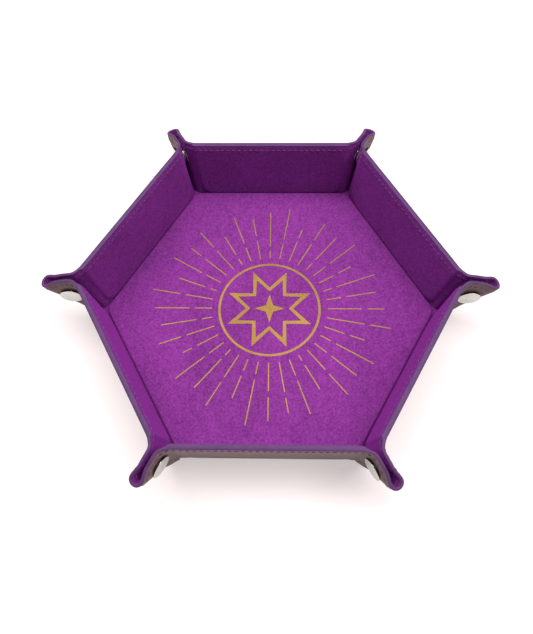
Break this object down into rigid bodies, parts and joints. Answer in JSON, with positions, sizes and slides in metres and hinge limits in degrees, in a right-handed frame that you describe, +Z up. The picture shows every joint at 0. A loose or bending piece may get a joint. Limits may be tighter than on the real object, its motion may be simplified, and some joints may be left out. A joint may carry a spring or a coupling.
{
  "type": "folding dice tray",
  "caption": "Hexagonal fold-flat dice tray: velvet-lined leather-like sheet over stiff boards, with pinched corners held by press snaps and a gold sunburst print.",
  "frame": {"origin": "centre of the underside of the floor, on the surface that the tray stands on", "axes": "+Z up, +X through a corner, -Y through the front wall"},
  "size_m": [0.2544, 0.2236, 0.0435],
  "materials": {
    "board": "matt",
    "cover": "satin, fine grain",
    "lining": "velvet",
    "foil": "hot-stamped foil",
    "snap": "polished"
  },
  "bodies": {
    "floor": {"floor_board": "board", "floor_cover": "cover", "floor_lining": "lining", "foil_print": "foil"},
    "wall_1": {"wall_board_1": "board", "wall_cover_1": "cover", "wall_lining_1": "lining"},
    "wall_2": {"wall_board_2": "board", "wall_cover_2": "cover", "wall_lining_2": "lining"},
    "wall_3": {"wall_board_3": "board", "wall_cover_3": "cover", "wall_lining_3": "lining"},
    "wall_4": {"wall_board_4": "board", "wall_cover_4": "cover", "wall_lining_4": "lining"},
    "wall_5": {"wall_board_5": "board", "wall_cover_5": "cover", "wall_lining_5": "lining"},
    "wall_6": {"wall_board_6": "board", "wall_cover_6": "cover", "wall_lining_6": "lining"},
    "leaf_a_1": {"gusset_cover_a_1": "cover", "gusset_lining_a_1": "lining", "snap_socket_1": "snap"},
    "leaf_b_1": {"gusset_cover_b_1": "cover", "gusset_lining_b_1": "lining", "snap_stud_1": "snap"},
    "leaf_a_2": {"gusset_cover_a_2": "cover", "gusset_lining_a_2": "lining", "snap_socket_2": "snap"},
    "leaf_b_2": {"gusset_cover_b_2": "cover", "gusset_lining_b_2": "lining", "snap_stud_2": "snap"},
    "leaf_a_3": {"gusset_cover_a_3": "cover", "gusset_lining_a_3": "lining", "snap_socket_3": "snap"},
    "leaf_b_3": {"gusset_cover_b_3": "cover", "gusset_lining_b_3": "lining", "snap_stud_3": "snap"},
    "leaf_a_4": {"gusset_cover_a_4": "cover", "gusset_lining_a_4": "lining", "snap_socket_4": "snap"},
    "leaf_b_4": {"gusset_cover_b_4": "cover", "gusset_lining_b_4": "lining", "snap_stud_4": "snap"},
    "leaf_a_5": {"gusset_cover_a_5": "cover", "gusset_lining_a_5": "lining", "snap_socket_5": "snap"},
    "leaf_b_5": {"gusset_cover_b_5": "cover", "gusset_lining_b_5": "lining", "snap_stud_5": "snap"},
    "leaf_a_6": {"gusset_cover_a_6": "cover", "gusset_lining_a_6": "lining", "snap_socket_6": "snap"},
    "leaf_b_6": {"gusset_cover_b_6": "cover", "gusset_lining_b_6": "lining", "snap_stud_6": "snap"}
  },
  "joints": [
    {"name": "wall_fold_1", "type": "hinge", "parent": "floor", "child": "wall_1", "pos_m": [0, -0.08898, 0.0005], "axis": [1, 0, 0], "range_deg": [0, 84]},
    {"name": "wall_fold_2", "type": "hinge", "parent": "floor", "child": "wall_2", "pos_m": [0.07706, -0.04449, 0.0005], "axis": [0.5, 0.866, 0], "range_deg": [0, 84]},
    {"name": "wall_fold_3", "type": "hinge", "parent": "floor", "child": "wall_3", "pos_m": [0.07706, 0.04449, 0.0005], "axis": [-0.5, 0.866, 0], "range_deg": [0, 84]},
    {"name": "wall_fold_4", "type": "hinge", "parent": "floor", "child": "wall_4", "pos_m": [0, 0.08898, 0.0005], "axis": [-1, 0, 0], "range_deg": [0, 84]},
    {"name": "wall_fold_5", "type": "hinge", "parent": "floor", "child": "wall_5", "pos_m": [-0.07706, 0.04449, 0.0005], "axis": [-0.5, -0.866, 0], "range_deg": [0, 84]},
    {"name": "wall_fold_6", "type": "hinge", "parent": "floor", "child": "wall_6", "pos_m": [-0.07706, -0.04449, 0.0005], "axis": [0.5, -0.866, 0], "range_deg": [0, 84]},
    {"name": "crease_1", "type": "hinge", "parent": "wall_1", "child": "leaf_a_1", "pos_m": [0.04849, -0.08839, 0.00056], "axis": [0.0602, -0.1043, 0.9927], "range_deg": [0, 60.19]},
    {"name": "corner_fold_1", "type": "hinge", "parent": "leaf_a_1", "child": "leaf_b_1", "pos_m": [0.05006, -0.0867, -0.00499], "axis": [-0.2757, 0.4776, -0.8342], "range_deg": [0, 179.81]},
    {"name": "crease_2", "type": "hinge", "parent": "wall_2", "child": "leaf_a_2", "pos_m": [0.10079, -0.0022, 0.00056], "axis": [0.1205, 0, 0.9927], "range_deg": [0, 60.19]},
    {"name": "corner_fold_2", "type": "hinge", "parent": "leaf_a_2", "child": "leaf_b_2", "pos_m": [0.10012, 0, -0.00499], "axis": [-0.5514, 0, -0.8342], "range_deg": [0, 179.81]},
    {"name": "crease_3", "type": "hinge", "parent": "wall_3", "child": "leaf_a_3", "pos_m": [0.0523, 0.08619, 0.00056], "axis": [0.0602, 0.1043, 0.9927], "range_deg": [0, 60.19]},
    {"name": "corner_fold_3", "type": "hinge", "parent": "leaf_a_3", "child": "leaf_b_3", "pos_m": [0.05006, 0.0867, -0.00499], "axis": [-0.2757, -0.4776, -0.8342], "range_deg": [0, 179.81]},
    {"name": "crease_4", "type": "hinge", "parent": "wall_4", "child": "leaf_a_4", "pos_m": [-0.04849, 0.08839, 0.00056], "axis": [-0.0602, 0.1043, 0.9927], "range_deg": [0, 60.19]},
    {"name": "corner_fold_4", "type": "hinge", "parent": "leaf_a_4", "child": "leaf_b_4", "pos_m": [-0.05006, 0.0867, -0.00499], "axis": [0.2757, -0.4776, -0.8342], "range_deg": [0, 179.81]},
    {"name": "crease_5", "type": "hinge", "parent": "wall_5", "child": "leaf_a_5", "pos_m": [-0.10079, 0.0022, 0.00056], "axis": [-0.1205, 0, 0.9927], "range_deg": [0, 60.19]},
    {"name": "corner_fold_5", "type": "hinge", "parent": "leaf_a_5", "child": "leaf_b_5", "pos_m": [-0.10012, 0, -0.00499], "axis": [0.5514, 0, -0.8342], "range_deg": [0, 179.81]},
    {"name": "crease_6", "type": "hinge", "parent": "wall_6", "child": "leaf_a_6", "pos_m": [-0.0523, -0.08619, 0.00056], "axis": [-0.0602, -0.1043, 0.9927], "range_deg": [0, 60.19]},
    {"name": "corner_fold_6", "type": "hinge", "parent": "leaf_a_6", "child": "leaf_b_6", "pos_m": [-0.05006, -0.0867, -0.00499], "axis": [0.2757, 0.4776, -0.8342], "range_deg": [0, 179.81]}
  ],
  "couplings": [
    {"joint": "wall_fold_2", "follows": "wall_fold_1", "ratio": 1},
    {"joint": "wall_fold_3", "follows": "wall_fold_1", "ratio": 1},
    {"joint": "wall_fold_4", "follows": "wall_fold_1", "ratio": 1},
    {"joint": "wall_fold_5", "follows": "wall_fold_1", "ratio": 1},
    {"joint": "wall_fold_6", "follows": "wall_fold_1", "ratio": 1},
    {"joint": "crease_1", "follows": "wall_fold_1", "ratio": 0.71644},
    {"joint": "corner_fold_1", "follows": "wall_fold_1", "ratio": 2.1405},
    {"joint": "crease_2", "follows": "wall_fold_1", "ratio": 0.71644},
    {"joint": "corner_fold_2", "follows": "wall_fold_1", "ratio": 2.1405},
    {"joint": "crease_3", "follows": "wall_fold_1", "ratio": 0.71644},
    {"joint": "corner_fold_3", "follows": "wall_fold_1", "ratio": 2.1405},
    {"joint": "crease_4", "follows": "wall_fold_1", "ratio": 0.71644},
    {"joint": "corner_fold_4", "follows": "wall_fold_1", "ratio": 2.1405},
    {"joint": "crease_5", "follows": "wall_fold_1", "ratio": 0.71644},
    {"joint": "corner_fold_5", "follows": "wall_fold_1", "ratio": 2.1405},
    {"joint": "crease_6", "follows": "wall_fold_1", "ratio": 0.71644},
    {"joint": "corner_fold_6", "follows": "wall_fold_1", "ratio": 2.1405}
  ]
}
